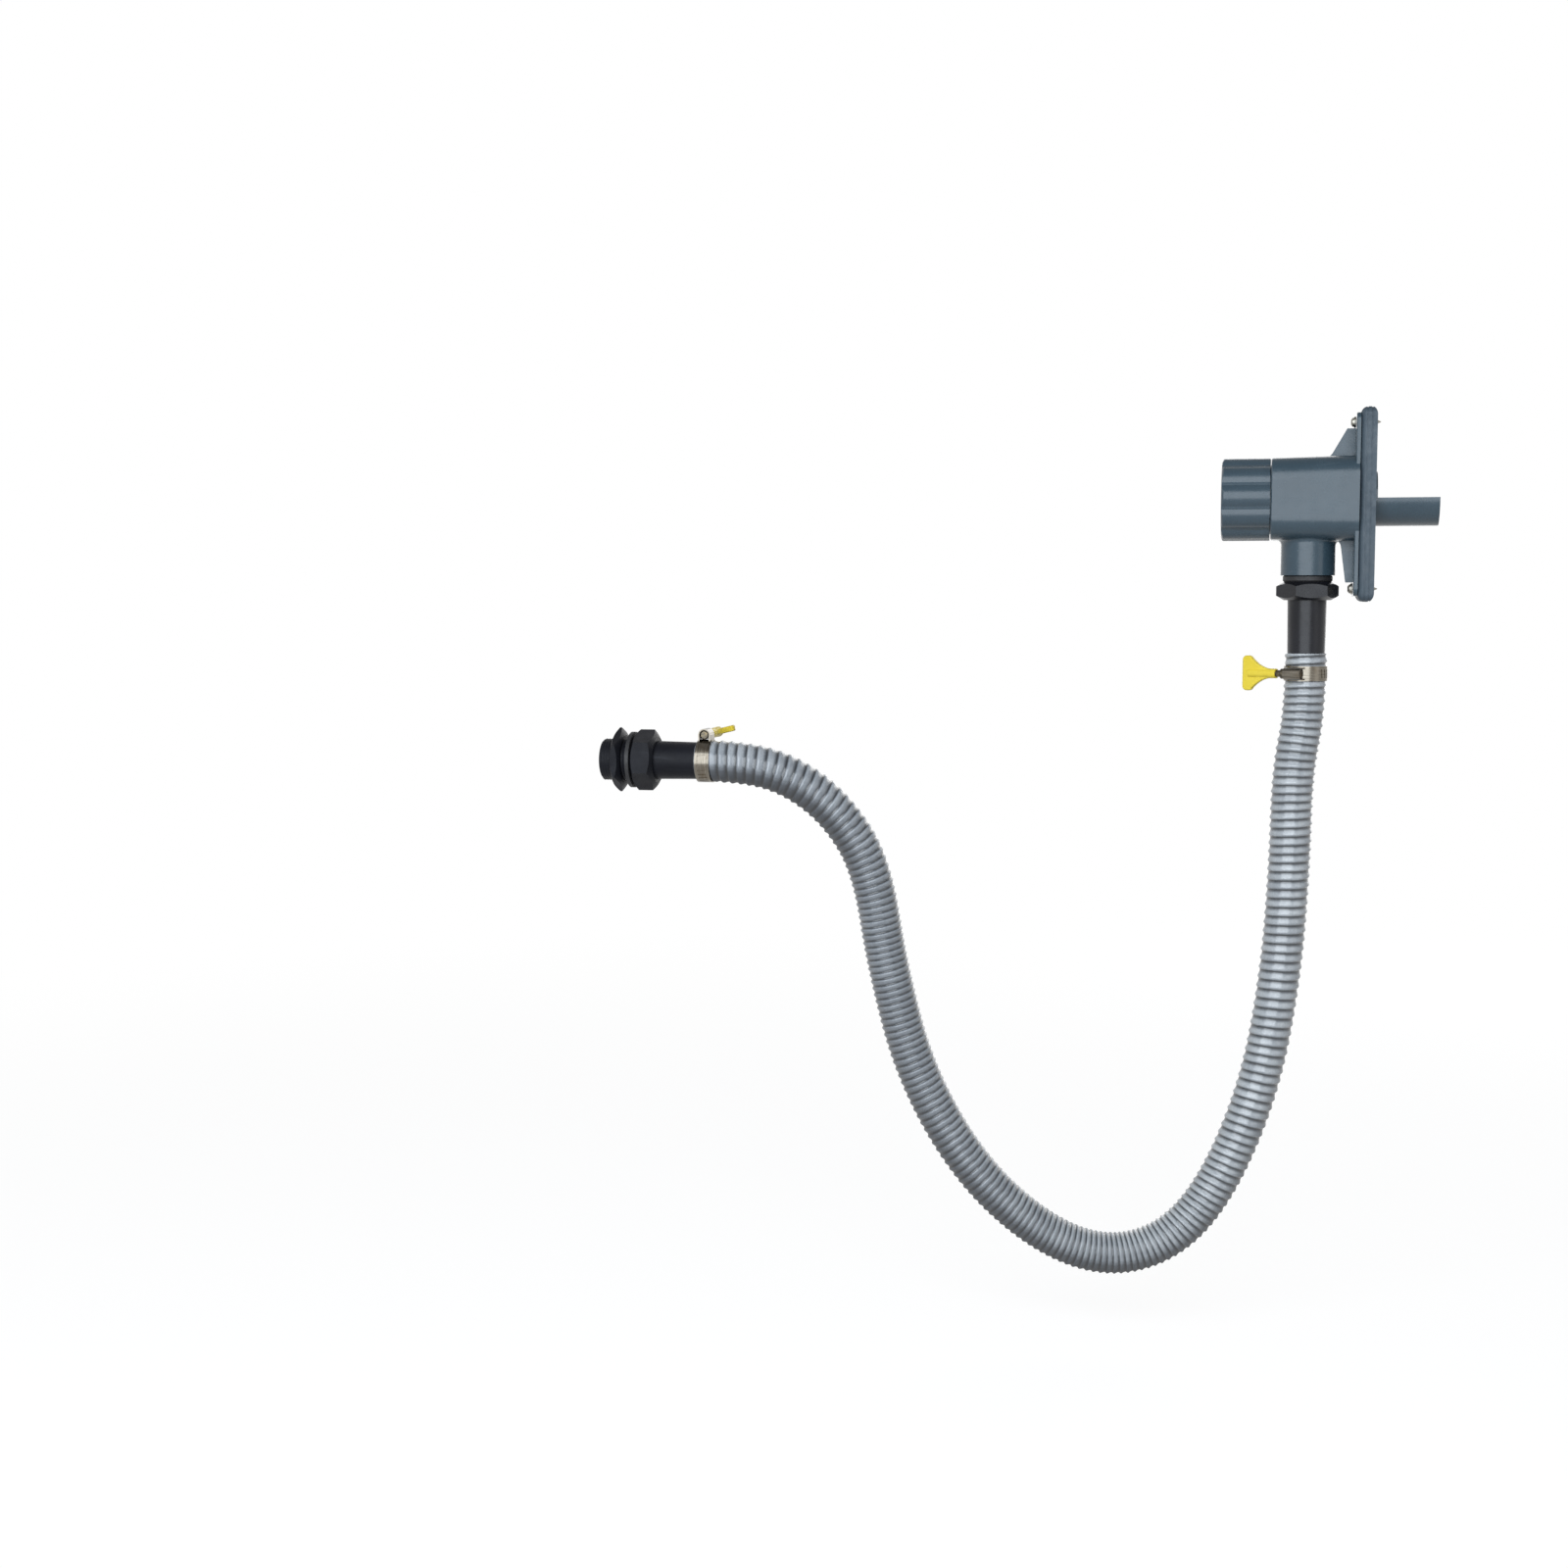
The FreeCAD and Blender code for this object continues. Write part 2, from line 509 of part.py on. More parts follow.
# Screw that holds the sleeve on the spindle
screw_head_x = SLEEVE_FACE_X + SLEEVE_SCREW_HEAD_HEIGHT
screw_head = rod_x(SLEEVE_SCREW_HEAD_RADIUS, SLEEVE_FACE_X, screw_head_x)
screw_head = screw_head.makeChamfer(SLEEVE_SCREW_HEAD_CHAMFER, edges_at_x(screw_head, screw_head_x))
sleeve_screw = screw_head.fuse(rod_x(SLEEVE_SCREW_RADIUS, screw_end_x, screw_head_x - THROUGH))
save("sleeve_screw", sleeve_screw.removeSplitter())

# Seal under the outlet socket
seal = rod_z(THREAD_RADIUS + SEAL_WALL, SEAL_BOTTOM_Z, SOCKET_BOTTOM_Z, OUTLET_X)
seal = seal.makeChamfer(SEAL_CHAMFER, [edge for edge in seal.Edges if edge.BoundBox.ZLength < 0.01])
seal = seal.cut(rod_z(THREAD_RADIUS, SEAL_BOTTOM_Z - THROUGH, SOCKET_BOTTOM_Z + THROUGH, OUTLET_X))
save("outlet_seal", seal)


# Black tail, drawn along -Z from the top of its hexagon, then put in place
def black_tail(thread_length, hex_height, tube_length):
    hexagon = chamfered_hexagon_z(TAIL_HEX_FLATS, -hex_height, 0)
    shoulder = -hex_height - tube_length
    spigot_end = shoulder - SPIGOT_LENGTH
    barb = SPIGOT_LENGTH / SPIGOT_BARBS
    outline = [
        Vec(0, 0, thread_length),
        Vec(THREAD_RADIUS - THREAD_LEAD, 0, thread_length),
        Vec(THREAD_RADIUS, 0, thread_length - THREAD_LEAD),
        Vec(THREAD_RADIUS, 0, -hex_height / 2),
        Vec(TAIL_TUBE_TOP_RADIUS, 0, -hex_height / 2),
        Vec(TAIL_TUBE_TOP_RADIUS, 0, -hex_height),
        Vec(TAIL_TUBE_END_RADIUS, 0, shoulder),
    ]
    for number in range(SPIGOT_BARBS):
        top = shoulder - number * barb
        outline.append(Vec(HOSE_BORE_RADIUS, 0, top))
        outline.append(Vec(HOSE_BORE_RADIUS - SPIGOT_BARB_DEPTH, 0, top - barb))
    outline.append(Vec(0, 0, spigot_end))
    tail = hexagon.fuse(revolve(outline, Vec(0, 0, 0), Vec(0, 0, 1)))
    tail = tail.cut(rod_z(TAIL_BORE_RADIUS, spigot_end - THROUGH, thread_length + THROUGH))
    tail = tail.removeSplitter()
    tail.rotate(Vec(0, 0, 0), Vec(0, 0, 1), HEX_TURN)
    return tail


outlet_tail = black_tail(SEAL_THICKNESS + THREAD_ENGAGEMENT, TAIL_HEX_HEIGHT, TAIL_TUBE_LENGTH)
outlet_tail.translate(Vec(OUTLET_X, 0, SEAL_BOTTOM_Z))
save("outlet_hose_tail", outlet_tail)

tank_thread = TANK_SEAL_THICKNESS + TANK_WALL_SPACE + LOCKNUT_HEIGHT + TANK_THREAD_PROUD
tank_tail = black_tail(tank_thread, TANK_HEX_HEIGHT, TANK_TUBE_LENGTH)
tank_tail.rotate(Vec(0, 0, 0), Vec(0, 1, 0), -90)
tank_tail.translate(Vec(TANK_HEX_X, TANK_Y, TANK_Z))
save("tank_hose_tail", tank_tail)

# Seal and locknut of the far end, with room between them for the wall that they clamp
tank_seal = rod_x(TANK_SEAL_RADIUS, TANK_SEAL_X, TANK_HEX_X, TANK_Y, TANK_Z)
seal_hole = rod_x(THREAD_RADIUS, TANK_SEAL_X - THROUGH, TANK_HEX_X + THROUGH, TANK_Y, TANK_Z)
save("tank_seal", tank_seal.cut(seal_hole))
nut = chamfered_hexagon_z(TAIL_HEX_FLATS + LOCKNUT_EXTRA_FLATS, 0, LOCKNUT_HEIGHT)
nut = nut.cut(rod_z(THREAD_RADIUS, -THROUGH, LOCKNUT_HEIGHT + THROUGH))
nut.rotate(Vec(0, 0, 0), Vec(0, 1, 0), -90)
nut.translate(Vec(TANK_SEAL_X - TANK_WALL_SPACE, TANK_Y, TANK_Z))
save("tank_locknut", nut)

# Hose: straight runs joined by tangent arcs
pieces = []
run_start = ROUTE[0]
for before, here, after in zip(ROUTE, ROUTE[1:], ROUTE[2:]):
    reach = ARC_SHARE * min((here - before).Length, (after - here).Length)
    arc_start, arc_middle, arc_end, bend_radius = rounded_corner(before, here, after, reach)
    pieces.append(Part.LineSegment(run_start, arc_start).toShape())
    pieces.append(Part.Arc(arc_start, arc_middle, arc_end).toShape())
    run_start = arc_end
    print("bend at", round(here.x), round(here.y), round(here.z), "radius", round(bend_radius, 1))
pieces.append(Part.LineSegment(run_start, ROUTE[-1]).toShape())
hose_line = Part.Wire(pieces)


def along_hose(radius):
    circle = Part.Wire([Part.makeCircle(radius, ROUTE[0], ROUTE[1] - ROUTE[0])])
    return hose_line.makePipeShell([circle], True, False)


hose = along_hose(HOSE_RADIUS).cut(along_hose(HOSE_BORE_RADIUS))
full_volume = math.pi * (HOSE_RADIUS ** 2 - HOSE_BORE_RADIUS ** 2) * hose_line.Length
print("hose length", round(hose_line.Length, 1), "share of full volume", round(hose.Volume / full_volume, 4))
save("filling_hose", hose)


# Hose clamp, drawn round the Z axis with its screw along X at +Y and its wing key at +X, then put in place
def clamp_band():
    half = BAND_WIDTH / 2
    tail_half = half - BAND_TAIL_INSET
    inside = rod_z(BAND_INSIDE_RADIUS, -half - THROUGH, half + THROUGH)
    wedge = [Vec(0, 0, -half)]
    for angle in (BAND_TAIL_FROM, BAND_TAIL_TO):
        reach_x = 3 * BAND_RADIUS * math.cos(math.radians(angle))
        reach_y = 3 * BAND_RADIUS * math.sin(math.radians(angle))
        wedge.append(Vec(reach_x, reach_y, -half))
    tail = rod_z(BAND_RADIUS + BAND_TAIL_THICKNESS, -tail_half, tail_half)
    tail = tail.common(flat_face(wedge).extrude(Vec(0, 0, BAND_WIDTH)))
    band = rod_z(BAND_RADIUS, -half, half).fuse(tail).cut(inside).removeSplitter()
    slots = []
    slot_corner = Vec(-SLOT_WIDTH / 2, BAND_RADIUS - SLOT_DEPTH, -SLOT_LENGTH / 2)
    angle = BAND_TAIL_TO - 360 + SLOT_STEP
    while angle < 180 - BAND_TAIL_FROM - SLOT_STEP / 2:
        slot = Part.makeBox(SLOT_WIDTH, SLOT_DEPTH + THROUGH, SLOT_LENGTH, slot_corner)
        slot.rotate(Vec(0, 0, 0), Vec(0, 1, 0), SLOT_SLANT)
        slot.rotate(Vec(0, 0, 0), Vec(0, 0, 1), angle - 90)
        slots.append(slot)
        angle = angle + SLOT_STEP
    return band.cut(slots)


def clamp_arch():
    half = CLAMP_ARCH_LENGTH / 2
    arch = rod_x(CLAMP_ARCH_RADIUS, -half, half, CLAMP_SCREW_AXIS, 0)
    foot_corner = Vec(-half, 0, -CLAMP_ARCH_RADIUS)
    arch = arch.fuse(Part.makeBox(CLAMP_ARCH_LENGTH, CLAMP_SCREW_AXIS, 2 * CLAMP_ARCH_RADIUS, foot_corner))
    arch = arch.cut(rod_x(CLAMP_BORE_RADIUS, -half - THROUGH, half + THROUGH, CLAMP_SCREW_AXIS, 0))
    open_length = CLAMP_ARCH_LENGTH + 2 * THROUGH
    open_foot = Vec(-half - THROUGH, 0, -CLAMP_BORE_RADIUS)
    arch = arch.cut(Part.makeBox(open_length, CLAMP_SCREW_AXIS, 2 * CLAMP_BORE_RADIUS, open_foot))
    arch = arch.cut(rod_z(BAND_RADIUS, -BAND_WIDTH, BAND_WIDTH))
    return arch.removeSplitter()


def clamp_screw():
    end = -CLAMP_ARCH_LENGTH / 2 + CLAMP_SCREW_RECESS
    collar_from = CLAMP_ARCH_LENGTH / 2 + CLAMP_SIDE_GAP
    collar_to = collar_from + CLAMP_COLLAR_LENGTH
    neck_to = KEY_START + KEY_CORE_DEPTH
    outside = CLAMP_SCREW_AXIS + CLAMP_SCREW_RADIUS
    collar = outside + CLAMP_COLLAR_PROUD
    neck = CLAMP_SCREW_AXIS + CLAMP_NECK_RADIUS
    outline = [
        Vec(end, CLAMP_SCREW_AXIS, 0),
        Vec(end, outside - CLAMP_SCREW_CHAMFER, 0),
        Vec(end + CLAMP_SCREW_CHAMFER, outside, 0),
        Vec(collar_from, outside, 0),
        Vec(collar_from, collar, 0),
        Vec(collar_to, collar, 0),
        Vec(collar_to, neck, 0),
        Vec(neck_to, neck, 0),
        Vec(neck_to, CLAMP_SCREW_AXIS, 0),
    ]
    return revolve(outline, Vec(0, CLAMP_SCREW_AXIS, 0), Vec(1, 0, 0))


def clamp_key(turn):
    half = KEY_WIDTH / 2
    near = CLAMP_SCREW_AXIS - KEY_THICKNESS / 2
    bar = Part.makeBox(KEY_END - KEY_BAR_START, KEY_THICKNESS, KEY_WIDTH, Vec(KEY_BAR_START, near, -half))
    bar = bar.makeFillet(KEY_CORNER, [edge for edge in bar.Edges if edge.BoundBox.YLength > 0.01])
    thin_shank = KEY_SHANK_RADIUS - KEY_SHANK_TAPER
    middle_x = (KEY_FLARE_START + KEY_BAR_START) / 2
    inside_x = KEY_BAR_START + KEY_CORNER
    shoulder = half - KEY_SHOULDER_DROP
    upper = [
        Vec(KEY_FLARE_START, near, thin_shank),
        Vec(middle_x, near, KEY_SHANK_RADIUS + KEY_FLARE_BULGE),
        Vec(KEY_BAR_START, near, shoulder),
        Vec(inside_x, near, shoulder),
    ]
    lower = [Vec(point.x, near, -point.z) for point in upper]
    outline = [
        Part.Arc(upper[0], upper[1], upper[2]).toShape(),
        Part.makeLine(upper[2], upper[3]),
        Part.makeLine(upper[3], lower[3]),
        Part.makeLine(lower[3], lower[2]),
        Part.Arc(lower[2], lower[1], lower[0]).toShape(),
        Part.makeLine(lower[0], upper[0]),
    ]
    flare = Part.Face(Part.Wire(outline)).extrude(Vec(0, KEY_THICKNESS, 0))
    key = bar.fuse(flare).removeSplitter()
    key = key.makeFillet(KEY_EDGE_ROUND, [edge for edge in key.Edges if edge.BoundBox.YLength < 0.01])
    shank_from = Vec(KEY_START, CLAMP_SCREW_AXIS, 0)
    shank_length = inside_x - KEY_START
    key = key.fuse(Part.makeCone(thin_shank, KEY_SHANK_RADIUS, shank_length, shank_from, Vec(1, 0, 0)))
    core = rod_x(CLAMP_NECK_RADIUS, KEY_START - THROUGH, KEY_START + KEY_CORE_DEPTH, CLAMP_SCREW_AXIS, 0)
    key = key.cut(core).removeSplitter()
    key.rotate(Vec(0, CLAMP_SCREW_AXIS, 0), Vec(1, 0, 0), turn)
    return key


def place_clamp(name, centre, key_way, screw_side, key_turn):
    along = key_way.cross(screw_side)
    matrix = FreeCAD.Matrix(
        key_way.x, screw_side.x, along.x, centre.x,
        key_way.y, screw_side.y, along.y, centre.y,
        key_way.z, screw_side.z, along.z, centre.z,
        0, 0, 0, 1,
    )
    save(name + "_band", clamp_band().transformed(matrix))
    save(name + "_housing", clamp_arch().transformed(matrix))
    save(name + "_screw", clamp_screw().transformed(matrix))
    save(name + "_key", clamp_key(key_turn).transformed(matrix))


outlet_clamp_centre = Vec(OUTLET_X, 0, HOSE_START_Z - OUTLET_CLAMP_FROM_HOSE_END)
clamp_turn = FreeCAD.Rotation(Vec(0, 0, 1), -OUTLET_CLAMP_TURN)
outlet_key_way = clamp_turn.multVec(Vec(-1, 0, 0))
outlet_screw_side = clamp_turn.multVec(Vec(0, -1, 0))
place_clamp("outlet_clamp", outlet_clamp_centre, outlet_key_way, outlet_screw_side, 0)
tank_clamp_centre = Vec(TANK_X + TANK_CLAMP_FROM_HOSE_END, TANK_Y, TANK_Z)
place_clamp("tank_clamp", tank_clamp_centre, Vec(0, 1, 0), Vec(0, 0, 1), TANK_KEY_TURN)
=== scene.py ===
import bisect
import math

import bmesh
import bpy
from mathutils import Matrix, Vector


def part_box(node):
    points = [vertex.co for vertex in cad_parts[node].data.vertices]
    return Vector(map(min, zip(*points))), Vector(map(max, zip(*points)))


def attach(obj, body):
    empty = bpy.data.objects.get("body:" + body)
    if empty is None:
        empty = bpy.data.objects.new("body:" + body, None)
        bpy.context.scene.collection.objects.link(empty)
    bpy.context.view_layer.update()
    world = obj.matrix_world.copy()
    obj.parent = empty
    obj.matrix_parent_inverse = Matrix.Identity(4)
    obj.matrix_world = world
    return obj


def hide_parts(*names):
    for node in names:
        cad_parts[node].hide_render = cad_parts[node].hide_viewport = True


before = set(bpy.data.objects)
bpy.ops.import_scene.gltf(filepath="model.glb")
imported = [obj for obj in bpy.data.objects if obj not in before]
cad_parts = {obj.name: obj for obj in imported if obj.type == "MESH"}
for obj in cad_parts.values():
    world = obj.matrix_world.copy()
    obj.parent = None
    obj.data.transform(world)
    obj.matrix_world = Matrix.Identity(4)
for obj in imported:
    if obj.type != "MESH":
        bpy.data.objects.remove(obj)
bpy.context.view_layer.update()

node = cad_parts

# Hose and clamps, in metres: each clamp's place is measured along the hose from its own end
HOSE_BORE_RADIUS = 0.0129
HOSE_SIDES = 48
HOSE_LINE_STEPS = 64
CLAMPED_RADIUS = 0.0166
OUTLET_CLAMP_PLACE = 0.0163
FAR_CLAMP_PLACE = 0.0066
CLAMP_HALF_WIDTH = 0.0066
CLAMP_EASE = 0.004
RIB_PITCH = 0.0065

# Threads, in metres
THREAD_SIDES = 40
THREAD_WALL = 0.0006
TAIL_THREAD = {"root": 0.01664, "crest": 0.01715, "pitch": 0.00231}
TAIL_THREAD_INSET = 0.0012
TAIL_THREAD_GAP = 0.0002
SCREW_THREAD = {"root": 0.00203, "crest": 0.0025, "pitch": 0.0017}
SCREW_THREAD_START = 0.0005
SCREW_THREAD_LENGTH = 0.0094
SCREW_HEIGHTS = {"upper": 0.0615, "lower": -0.0725}

# Wound sleeves: merging as a share of the pitch, the cut's tolerance, and the lip inside each end
MERGE_SHARE = 1 / 500
CUT_TOLERANCE = 1e-7
LIP_TURNS = 4
LIP_TONE = 0.5

# Stage, in metres and degrees
FLOOR_LEVEL = -0.70
FLOOR_RADIUS = 40
FLOOR_SIDES = 96
FLOOR_MIDDLE = -0.28
FLOOR_GREY = (0.22, 0.22, 0.22, 1)
FLOOR_GLOW = 0.88
FLOOR_FADE = (0.9, 2.6)
OVERHEAD_HEIGHTS = (0.45, 0.95)
OVERHEAD_LEVELS = (1.0, 0.4)
WORLD_LIGHT = 0.09
CAMERA_PLACE = (-0.066, -1.835, -0.07975)
CAMERA_TILT = 85.113
CAMERA_TURN = 12.682

# Hose route, the same points as the CAD part's
HOSE_ROUTE = [
    (-0.041, 0.000, -0.125),
    (-0.041, 0.000, -0.172),
    (-0.050, -0.002, -0.221),
    (-0.051, -0.002, -0.297),
    (-0.056, -0.003, -0.387),
    (-0.071, -0.007, -0.483),
    (-0.104, -0.014, -0.569),
    (-0.142, -0.022, -0.616),
    (-0.193, -0.034, -0.631),
    (-0.248, -0.046, -0.610),
    (-0.306, -0.060, -0.555),
    (-0.351, -0.070, -0.474),
    (-0.374, -0.075, -0.385),
    (-0.387, -0.079, -0.301),
    (-0.412, -0.088, -0.256),
    (-0.447, -0.100, -0.226),
    (-0.487, -0.110, -0.213),
    (-0.526, -0.110, -0.213),
]

# Rib spacing at places along the hose: it hangs stretched and bunches up in the bends
RIB_SPACING = [
    (0.00, 0.0063),
    (0.30, 0.0080),
    (0.40, 0.0075),
    (0.55, 0.0048),
    (0.73, 0.0063),
    (0.91, 0.0053),
    (1.06, 0.0074),
    (1.16, 0.0074),
]

# Each rib rises slowly and drops steeply: share of the spacing, radius and lightness, whose low values
# in the roots are painted shade
RIB_SECTION = [
    (0.00, 0.01614, 0.6),
    (0.14, 0.01645, 0.95),
    (0.26, 0.01684, 1.0),
    (0.36, 0.01712, 1.0),
    (0.44, 0.01723, 1.0),
    (0.50, 0.01722, 1.0),
    (0.56, 0.01706, 1.0),
    (0.63, 0.01666, 0.8),
    (0.70, 0.01624, 0.25),
    (0.79, 0.01601, 0.0),
    (1.00, 0.01614, 0.6),
]

# Finishes
BLACK = (0, 0, 0, 1)
WHITE = (1, 1, 1, 1)
NOISE_SPAN = (0.3, 0.7)
MOULD_GRAIN = 0.00003


def paint(red, green, blue):
    linear = []
    for value in (red, green, blue):
        share = value / 255
        linear.append(share / 12.92 if share <= 0.04045 else ((share + 0.055) / 1.055) ** 2.4)
    return (*linear, 1.0)


def new_finish(name, metallic=0.0):
    finish = bpy.data.materials.new(name)
    finish.use_nodes = True
    shader = finish.node_tree.nodes["Principled BSDF"]
    shader.inputs["Metallic"].default_value = metallic
    return finish, finish.node_tree, shader


def feed(tree, socket, value):
    if isinstance(value, bpy.types.NodeSocket):
        tree.links.new(value, socket)
    else:
        socket.default_value = value


def worked_out(tree, operation, first, second):
    figure = tree.nodes.new("ShaderNodeMath")
    figure.operation = operation
    feed(tree, figure.inputs[0], first)
    feed(tree, figure.inputs[1], second)
    return figure.outputs["Value"]


def remapped(tree, value, old_span, new_span, smooth=False):
    span = tree.nodes.new("ShaderNodeMapRange")
    if smooth:
        span.interpolation_type = "SMOOTHSTEP"
    feed(tree, span.inputs["Value"], value)
    for label, limit in zip(("From Min", "From Max", "To Min", "To Max"), (*old_span, *new_span)):
        feed(tree, span.inputs[label], limit)
    return span.outputs["Result"]


def object_place(tree):
    return tree.nodes.new("ShaderNodeTexCoord").outputs["Object"]


def own_attribute(tree, name):
    layer = tree.nodes.new("ShaderNodeAttribute")
    layer.attribute_name = name
    return layer.outputs["Fac"]


def speckle(tree, scale, detail=3.0, stretch=(1, 1, 1)):
    spread = tree.nodes.new("ShaderNodeMapping")
    spread.inputs["Scale"].default_value = stretch
    noise = tree.nodes.new("ShaderNodeTexNoise")
    noise.inputs["Scale"].default_value = scale
    noise.inputs["Detail"].default_value = detail
    feed(tree, spread.inputs["Vector"], object_place(tree))
    feed(tree, noise.inputs["Vector"], spread.outputs["Vector"])
    return noise.outputs["Fac"]


def ramp(tree, value, stops):
    node_ramp = tree.nodes.new("ShaderNodeValToRGB")
    elements = node_ramp.color_ramp.elements
    while len(elements) < len(stops):
        elements.new(0.5)
    for element, (position, colour) in zip(elements, stops):
        element.position = position
        element.color = colour
    feed(tree, node_ramp.inputs["Fac"], value)
    return node_ramp.outputs["Color"]


def blend_over(tree, base, top, share, method="MIX"):
    mix = tree.nodes.new("ShaderNodeMix")
    mix.data_type = "RGBA"
    mix.blend_type = method
    feed(tree, mix.inputs["Factor"], share)
    feed(tree, mix.inputs[6], base)
    feed(tree, mix.inputs[7], top)
    return mix.outputs[2]


def uneven_roughness(tree, shader, value, low, high):
    feed(tree, shader.inputs["Roughness"], remapped(tree, value, NOISE_SPAN, (low, high)))


def raise_grain(tree, shader, heights):
    normal = None
    for value, depth in heights:
        bump = tree.nodes.new("ShaderNodeBump")
        bump.inputs["Distance"].default_value = depth
        bump.inputs["Strength"].default_value = 1.0
        feed(tree, bump.inputs["Height"], value)
        if normal is not None:
            feed(tree, bump.inputs["Normal"], normal)
        normal = bump.outputs["Normal"]
    feed(tree, shader.inputs["Normal"], normal)


def moulded_plastic(name, dark, light, scuff, smooth, rough, shine):
    finish, tree, shader = new_finish(name)
    shader.inputs["Specular IOR Level"].default_value = shine
    tone = ramp(tree, speckle(tree, 24.0, 4.0), [(0.35, paint(*dark)), (0.65, paint(*light))])
    marks = speckle(tree, 90.0, 6.0, (0.25, 1.6, 1.6))
    marked = ramp(tree, marks, [(0.62, BLACK), (0.74, WHITE)])
    scuffed = ramp(tree, speckle(tree, 900.0, 2.0), [(0.3, paint(*light)), (0.8, paint(*scuff))])
    faint = worked_out(tree, "MULTIPLY", marked, 0.35)
    feed(tree, shader.inputs["Base Color"], blend_over(tree, tone, scuffed, faint))
    uneven_roughness(tree, shader, speckle(tree, 140.0, 5.0), smooth, rough)
    fine = speckle(tree, 1300.0, 2.0)
    broad = speckle(tree, 35.0, 1.0)
    raise_grain(tree, shader, [(fine, MOULD_GRAIN), (broad, MOULD_GRAIN * 3)])
    return finish


def soft_rubber(name, dark, light, dust):
    finish, tree, shader = new_finish(name)
    tone = ramp(tree, speckle(tree, 40.0, 5.0), [(0.3, paint(*dark)), (0.7, paint(*light))])
    dusty = ramp(tree, speckle(tree, 320.0, 4.0), [(0.55, BLACK), (0.8, (0.4, 0.4, 0.4, 1))])
    dust_tone = ramp(tree, speckle(tree, 15.0), [(0.2, paint(*light)), (0.8, paint(*dust))])
    feed(tree, shader.inputs["Base Color"], blend_over(tree, tone, dust_tone, dusty))
    uneven_roughness(tree, shader, speckle(tree, 200.0, 4.0), 0.5, 0.68)
    raise_grain(tree, shader, [(speckle(tree, 2200.0, 2.0), 0.00003), (speckle(tree, 60.0), 0.00012)])
    return finish


def brushed_steel(name, brush):
    finish, tree, shader = new_finish(name, metallic=1.0)
    lines = speckle(tree, 60.0, 6.0, brush)
    tone = ramp(tree, lines, [(0.3, paint(84, 79, 71)), (0.7, paint(138, 132, 121))])
    stain = ramp(tree, speckle(tree, 130.0, 4.0), [(0.5, WHITE), (0.85, paint(186, 160, 128))])
    feed(tree, shader.inputs["Base Color"], blend_over(tree, tone, stain, 0.7, "MULTIPLY"))
    uneven_roughness(tree, shader, lines, 0.14, 0.28)
    raise_grain(tree, shader, [(lines, 0.00002)])
    return finish


def plated_steel(name, dark, light, stain):
    finish, tree, shader = new_finish(name, metallic=1.0)
    mottle = speckle(tree, 420.0, 5.0)
    tone = ramp(tree, mottle, [(0.3, paint(*dark)), (0.55, paint(*light)), (0.8, paint(*stain))])
    feed(tree, shader.inputs["Base Color"], tone)
    uneven_roughness(tree, shader, speckle(tree, 700.0, 4.0), 0.24, 0.44)
    raise_grain(tree, shader, [(mottle, 0.00002)])
    return finish


# Light ribs with painted shade in the roots between them: the underside is painted darker as painted
# shade and is rougher, and the far run is painted a little darker as painted shade where less light
# falls
def ribbed_vinyl(name):
    finish, tree, shader = new_finish(name)
    shader.inputs["Specular IOR Level"].default_value = 0.78
    # Painted shade: the rib tones darken the roots between the ribs
    rib_tones_with_painted_shade = [(0.0, paint(50, 54, 58)), (0.5, paint(142, 147, 151)), (1.0, paint(222, 226, 228))]
    wall = ramp(tree, own_attribute(tree, "rib"), rib_tones_with_painted_shade)
    cloud = ramp(tree, speckle(tree, 55.0, 5.0), [(0.3, paint(214, 216, 219)), (0.7, WHITE)])
    worn = ramp(tree, speckle(tree, 700.0, 3.0), [(0.35, paint(226, 226, 226)), (0.65, WHITE)])
    # Painted shade: the far run is painted a little darker, where less light falls
    across = tree.nodes.new("ShaderNodeSeparateXYZ")
    feed(tree, across.inputs["Vector"], object_place(tree))
    far_to_near = (-0.30, -0.07)
    run = remapped(tree, across.outputs["X"], far_to_near, (0.0, 1.0))
    painted_light_falloff = ramp(tree, run, [(0.0, paint(214, 216, 220)), (1.0, WHITE)])
    upward = own_attribute(tree, "upward")
    # Painted shade: the colour darkens towards the hose's underside, read from the upward attribute
    painted_underside_shade = [
        (0.1, paint(74, 77, 82)),
        (0.3, paint(118, 121, 126)),
        (0.46, paint(222, 223, 225)),
        (0.85, WHITE),
    ]
    underside_shade = ramp(tree, upward, painted_underside_shade)
    colour = wall
    for layer, share in ((cloud, 1.0), (painted_light_falloff, 1.0), (underside_shade, 1.0), (worn, 0.6)):
        colour = blend_over(tree, colour, layer, share, "MULTIPLY")
    feed(tree, shader.inputs["Base Color"], colour)
    gloss = remapped(tree, speckle(tree, 260.0, 4.0), NOISE_SPAN, (0.16, 0.24))
    below_to_side = (0.15, 0.42)
    dull = remapped(tree, upward, below_to_side, (0.4, 0.0))
    feed(tree, shader.inputs["Roughness"], worked_out(tree, "ADD", gloss, dull))
    raise_grain(tree, shader, [(speckle(tree, 1600.0, 2.0), 0.00001), (speckle(tree, 120.0), 0.00004)])
    return finish


